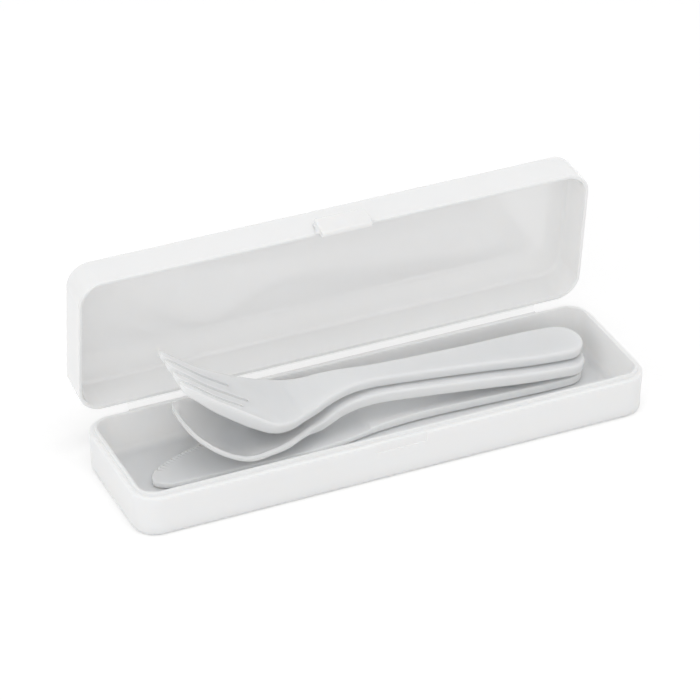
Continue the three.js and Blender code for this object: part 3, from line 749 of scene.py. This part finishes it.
# Injection-moulded polypropylene in six finishes. The tray's is a soft satin white. The lid's is polished, and
# mirrors the bright floor past the tray's end as a faint lighter patch. The trim, on the tab and the tray's
# flange, is whiter and looks more solid, because light stays close under its skin. The cutlery's is glossier
# and milkier, and the knife's less milky, because it is thinner. The cutlery and the knife are the same plastic
# as the case, and their greyer colour is painted shade, for the dimmer light down in the tray. The film and
# the lid's thin flange let the bright ground through, and all but vanish against it.
case_white = polypropylene("polypropylene_case", "#f9f9f8", "#f7f7f6", 0.36, 4)
lid_white = polypropylene("polypropylene_lid", "#f8f8f7", "#f6f6f5", 0.36, 4, level=0.0, coat=1.0)
trim_white = polypropylene("polypropylene_trim", "#fcfcfb", "#fafaf9", 0.36, 0.4, level=0.0, coat=1.0)
# Painted shade: the cutlery's and the knife's colours are greyer than the case's for the dimmer light in the
# tray
shaded_cutlery_white = polypropylene("polypropylene_cutlery_shaded", "#eeeff0", "#ebeced", 0.2, 7)
shaded_blade_white = polypropylene("polypropylene_blade_shaded", "#f2f3f4", "#f0f1f2", 0.2, 4)
film_white = thin_polypropylene("polypropylene_film", "#ffffff")


# Pieces ---------------------------------------------------------------------------------------------------
tray = make_tray()
lid = make_lid()
tab = make_tab()
tray_flange, lid_flange, film = make_hinge()
knife = make_knife()
spoon = make_spoon()
fork = make_fork()

for piece, body, material, slot, node in (
    (tray, "base", case_white, "case_tray", "tray"),
    (tray_flange, "base", trim_white, "case_tray", "tray"),
    (lid, "lid", lid_white, "case_lid", "lid"),
    (tab, "lid", trim_white, "case_lid", "lid"),
    (lid_flange, "lid", film_white, "case_lid", "lid"),
    (knife, "base", shaded_blade_white, "knife", "knife"),
    (spoon, "base", shaded_cutlery_white, "spoon", "spoon"),
    (fork, "base", shaded_cutlery_white, "fork", "fork"),
):
    piece.data.materials.clear()
    piece.data.materials.append(material)
    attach(piece, body)
    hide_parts(node)

film.data.materials.append(film_white)
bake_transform(film)


# Floor, light and camera ----------------------------------------------------------------------------------
FLOOR_HALF = 3000
FLOOR_LIFT = 0.22  # glow for the eye alone, which whitens the floor and leaves the object's light and shadow
SKY_LIGHT, SKY_SEEN = 0.715, 1.04  # strength of the sky as light on the object, and to the eye
corners = np.array([(-1, -1, 0), (1, -1, 0), (1, 1, 0), (-1, 1, 0)]) * FLOOR_HALF
floor = write_mesh("floor", corners, [(0, 1, 2, 3)])
ground, tree = new_material("matt_white_paper")
seen = white_to_the_eye(tree)
matt = add(tree, "ShaderNodeBsdfDiffuse", {"Color": linear("#f4f4f4")})
glow = add(tree, "ShaderNodeEmission", {"Color": (1, 1, 1, 1)})
lift = add(tree, "ShaderNodeMath", {1: FLOOR_LIFT}, {0: seen}, operation="MULTIPLY")
tree.links.new(lift.outputs[0], glow.inputs["Strength"])
whole = add(tree, "ShaderNodeAddShader")
tree.links.new(matt.outputs["BSDF"], whole.inputs[0])
tree.links.new(glow.outputs["Emission"], whole.inputs[1])
end = add(tree, "ShaderNodeOutputMaterial")
tree.links.new(whole.outputs["Shader"], end.inputs["Surface"])
floor.data.materials.append(ground)

world = bpy.data.worlds.new("white_studio")
bpy.context.scene.world = world
world.use_nodes = True
world.node_tree.nodes.clear()
sky = world.node_tree
eye = white_to_the_eye(sky)
strength = add(sky, "ShaderNodeMapRange", {"To Min": SKY_LIGHT, "To Max": SKY_SEEN}, {"Value": eye})
backdrop = add(sky, "ShaderNodeBackground", {"Color": (1, 1, 1, 1)}, {"Strength": strength.outputs["Result"]})
end = add(sky, "ShaderNodeOutputWorld")
sky.links.new(backdrop.outputs["Background"], end.inputs["Surface"])


def softbox(name, place, target, width, height, power):
    """A soft rectangular studio lamp at a place, facing a target, in millimetres and watts."""
    lamp = bpy.data.lights.new(name, "AREA")
    lamp.shape = "RECTANGLE"
    lamp.size, lamp.size_y = width * MM, height * MM
    lamp.energy = power
    holder = bpy.data.objects.new(name, lamp)
    bpy.context.collection.objects.link(holder)
    holder.location = Vector(place) * MM
    holder.rotation_mode = "QUATERNION"
    holder.rotation_quaternion = (Vector(target) - Vector(place)).to_track_quat("-Z", "Y")
    holder.visible_glossy = False  # or else the lid's polished skin would mirror the lamp's hard outline
    return holder


softbox("softbox_above", (100, -200, 1850), (0, 0, 20), 1200, 1000, 5.2)
softbox("softbox_left", (-900, -500, 450), (-30, 0, 30), 600, 600, 1.1)
softbox("softbox_front", (-520, -1150, 830), (0, 0, 30), 400, 300, 0.9)

# Camera fitted to the photograph: azimuth and elevation of the view, distance, the picture's centre, focal
# length in pixels, and the sensor in millimetres that the picture's width in pixels stands for
AZIMUTH, ELEVATION, DISTANCE = 24.252, 32.312, 1302.854
SHIFT_RIGHT, SHIFT_UP, FOCAL_PIXELS = -6.758, 30.296, 3686.77
SENSOR, PICTURE_PIXELS = 36, 700
a, e = math.radians(AZIMUTH), math.radians(ELEVATION)
back = Vector((-math.sin(a) * math.cos(e), -math.cos(a) * math.cos(e), math.sin(e)))
right = (-back).cross(Vector((0, 0, 1))).normalized()
up = right.cross(-back)
camera_data = bpy.data.cameras.new("camera")
camera_data.sensor_width = SENSOR
camera_data.lens = FOCAL_PIXELS * SENSOR / PICTURE_PIXELS
camera_data.clip_end = 20
camera = bpy.data.objects.new("camera", camera_data)
bpy.context.collection.objects.link(camera)
camera.matrix_world = Matrix.Translation((back * DISTANCE + right * SHIFT_RIGHT + up * SHIFT_UP) * MM) @ Matrix(
    (right, up, back)).transposed().to_4x4()
bpy.context.scene.camera = camera
bpy.context.scene.view_settings.view_transform = "Standard"
